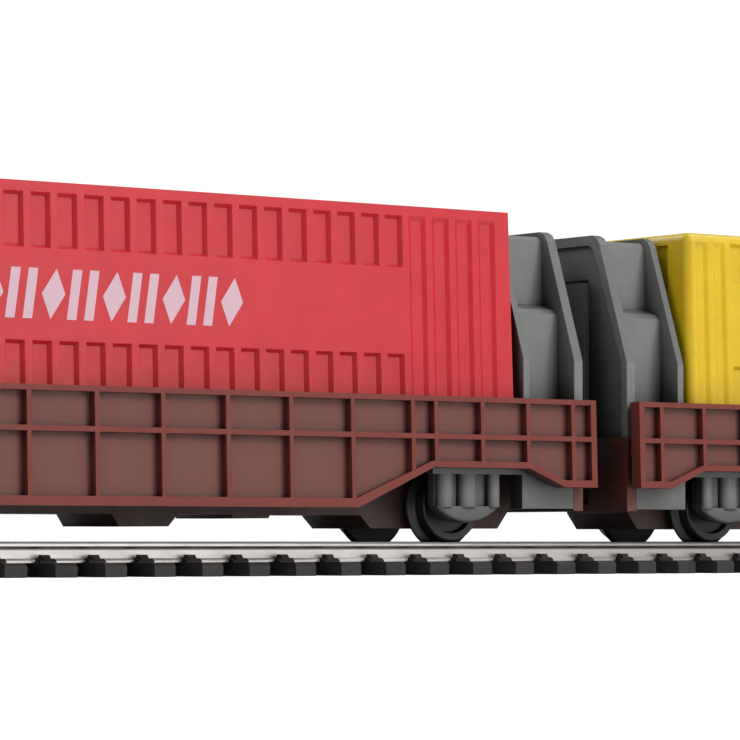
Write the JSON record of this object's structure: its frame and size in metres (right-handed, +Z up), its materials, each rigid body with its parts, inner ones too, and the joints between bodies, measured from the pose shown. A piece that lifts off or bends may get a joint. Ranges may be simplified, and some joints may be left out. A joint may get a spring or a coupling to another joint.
{
  "type": "model container wagons on track",
  "caption": "Two coupled two-axle H0 container wagons, each with a lift-off ribbed container, standing on a straight two-rail track.",
  "frame": {"origin": "middle of the track on the surface that the sleepers rest on", "axes": "+X along the rails, +Y across them, +Z up"},
  "size_m": [0.403, 0.034, 0.0467],
  "materials": {
    "rail_metal": "drawn nickel silver, bright head",
    "joiner_metal": "pressed metal, satin",
    "sleeper_plastic": "black, fine wood grain",
    "brown_plastic": "moulded, low sheen",
    "underframe_plastic": "moulded, low sheen",
    "grey_plastic": "moulded, low sheen",
    "red_plastic": "moulded, soft sheen",
    "yellow_plastic": "moulded, soft sheen",
    "wheel_black": "blackened, bright tread",
    "axle_steel": "turned steel",
    "ballast_steel": "rolled steel",
    "screw_steel": "zinc plated",
    "coupling_plastic": "black moulded",
    "coupling_wire": "blackened steel",
    "sign_print": "pad-printed pale ink"
  },
  "bodies": {
    "track": {"sleeper_strip": "sleeper_plastic", "near_rail": "rail_metal", "far_rail": "rail_metal", "rail_joiners": "joiner_metal"},
    "a_wagon": {"a_chassis": "brown_plastic", "a_underframe": "underframe_plastic", "a_ballast_bar": "ballast_steel", "a_screws": "screw_steel", "a_left_axle_cover": "underframe_plastic", "a_left_axle_guard": "grey_plastic", "a_left_bulkhead": "grey_plastic", "a_right_axle_cover": "underframe_plastic", "a_right_axle_guard": "grey_plastic", "a_right_bulkhead": "grey_plastic"},
    "a_container": {"a_container_shell": "red_plastic", "a_container_floor": "red_plastic"},
    "a_left_wheelset": {"a_left_axle": "axle_steel", "a_left_near_wheel": "wheel_black", "a_left_far_wheel": "wheel_black"},
    "a_left_coupling": {"a_left_coupling": "coupling_plastic"},
    "a_left_loop": {"a_left_coupling_loop": "coupling_wire"},
    "a_right_wheelset": {"a_right_axle": "axle_steel", "a_right_near_wheel": "wheel_black", "a_right_far_wheel": "wheel_black"},
    "a_right_coupling": {"a_right_coupling": "coupling_plastic"},
    "a_right_loop": {"a_right_coupling_loop": "coupling_wire"},
    "b_wagon": {"b_chassis": "brown_plastic", "b_underframe": "underframe_plastic", "b_ballast_bar": "ballast_steel", "b_screws": "screw_steel", "b_left_axle_cover": "underframe_plastic", "b_left_axle_guard": "grey_plastic", "b_left_bulkhead": "grey_plastic", "b_right_axle_cover": "underframe_plastic", "b_right_axle_guard": "grey_plastic", "b_right_bulkhead": "grey_plastic"},
    "b_container": {"b_container_shell": "yellow_plastic", "b_container_floor": "yellow_plastic"},
    "b_left_wheelset": {"b_left_axle": "axle_steel", "b_left_near_wheel": "wheel_black", "b_left_far_wheel": "wheel_black"},
    "b_left_coupling": {"b_left_coupling": "coupling_plastic"},
    "b_left_loop": {"b_left_coupling_loop": "coupling_wire"},
    "b_right_wheelset": {"b_right_axle": "axle_steel", "b_right_near_wheel": "wheel_black", "b_right_far_wheel": "wheel_black"},
    "b_right_coupling": {"b_right_coupling": "coupling_plastic"},
    "b_right_loop": {"b_right_coupling_loop": "coupling_wire"}
  },
  "joints": [
    {"name": "a_wagon_roll", "type": "slide", "parent": "track", "child": "a_wagon", "axis": [1, 0, 0], "range_m": [-0.012, 0.012]},
    {"name": "b_wagon_roll", "type": "slide", "parent": "track", "child": "b_wagon", "axis": [1, 0, 0], "range_m": [-0.012, 0.012]},
    {"name": "a_container_lift", "type": "slide", "parent": "a_wagon", "child": "a_container", "axis": [0, 0, 1], "range_m": [0, 0.035]},
    {"name": "a_left_wheels_turn", "type": "hinge", "parent": "a_wagon", "child": "a_left_wheelset", "pos_m": [-0.14716, 0, 0.00884], "axis": [0, 1, 0], "range_deg": [-180, 180]},
    {"name": "a_left_coupling_swing", "type": "hinge", "parent": "a_wagon", "child": "a_left_coupling", "pos_m": [-0.1609, 0, 0.01124], "axis": [0, 0, 1], "range_deg": [-13, 13]},
    {"name": "a_left_loop_lift", "type": "hinge", "parent": "a_left_coupling", "child": "a_left_loop", "pos_m": [-0.16685, 0, 0.01054], "axis": [0, 1, 0], "range_deg": [0, 45]},
    {"name": "a_right_wheels_turn", "type": "hinge", "parent": "a_wagon", "child": "a_right_wheelset", "pos_m": [-0.02184, 0, 0.00884], "axis": [0, 1, 0], "range_deg": [-180, 180]},
    {"name": "a_right_coupling_swing", "type": "hinge", "parent": "a_wagon", "child": "a_right_coupling", "pos_m": [-0.0081, 0, 0.01124], "axis": [0, 0, 1], "range_deg": [-4, 4]},
    {"name": "a_right_loop_lift", "type": "hinge", "parent": "a_right_coupling", "child": "a_right_loop", "pos_m": [-0.00215, 0, 0.01054], "axis": [0, -1, 0], "range_deg": [0, 14]},
    {"name": "b_container_lift", "type": "slide", "parent": "b_wagon", "child": "b_container", "axis": [0, 0, 1], "range_m": [0, 0.035]},
    {"name": "b_left_wheels_turn", "type": "hinge", "parent": "b_wagon", "child": "b_left_wheelset", "pos_m": [0.02284, 0, 0.00884], "axis": [0, 1, 0], "range_deg": [-180, 180]},
    {"name": "b_left_coupling_swing", "type": "hinge", "parent": "b_wagon", "child": "b_left_coupling", "pos_m": [0.0091, 0, 0.01124], "axis": [0, 0, 1], "range_deg": [-4, 4]},
    {"name": "b_left_loop_lift", "type": "hinge", "parent": "b_left_coupling", "child": "b_left_loop", "pos_m": [0.00315, 0, 0.01054], "axis": [0, 1, 0], "range_deg": [0, 28.5]},
    {"name": "b_right_wheels_turn", "type": "hinge", "parent": "b_wagon", "child": "b_right_wheelset", "pos_m": [0.14816, 0, 0.00884], "axis": [0, 1, 0], "range_deg": [-180, 180]},
    {"name": "b_right_coupling_swing", "type": "hinge", "parent": "b_wagon", "child": "b_right_coupling", "pos_m": [0.1619, 0, 0.01124], "axis": [0, 0, 1], "range_deg": [-13, 13]},
    {"name": "b_right_loop_lift", "type": "hinge", "parent": "b_right_coupling", "child": "b_right_loop", "pos_m": [0.16785, 0, 0.01054], "axis": [0, -1, 0], "range_deg": [0, 45]}
  ],
  "couplings": [
    {"joint": "b_wagon_roll", "follows": "a_wagon_roll", "ratio": 1},
    {"joint": "b_left_coupling_swing", "follows": "a_right_coupling_swing", "ratio": -1},
    {"joint": "b_left_loop_lift", "follows": "a_right_loop_lift", "ratio": 2},
    {"joint": "a_left_wheels_turn", "follows": "a_wagon_roll", "rad_per_m": 219.3},
    {"joint": "a_right_wheels_turn", "follows": "a_wagon_roll", "rad_per_m": 219.3},
    {"joint": "b_left_wheels_turn", "follows": "a_wagon_roll", "rad_per_m": 219.3},
    {"joint": "b_right_wheels_turn", "follows": "a_wagon_roll", "rad_per_m": 219.3}
  ]
}
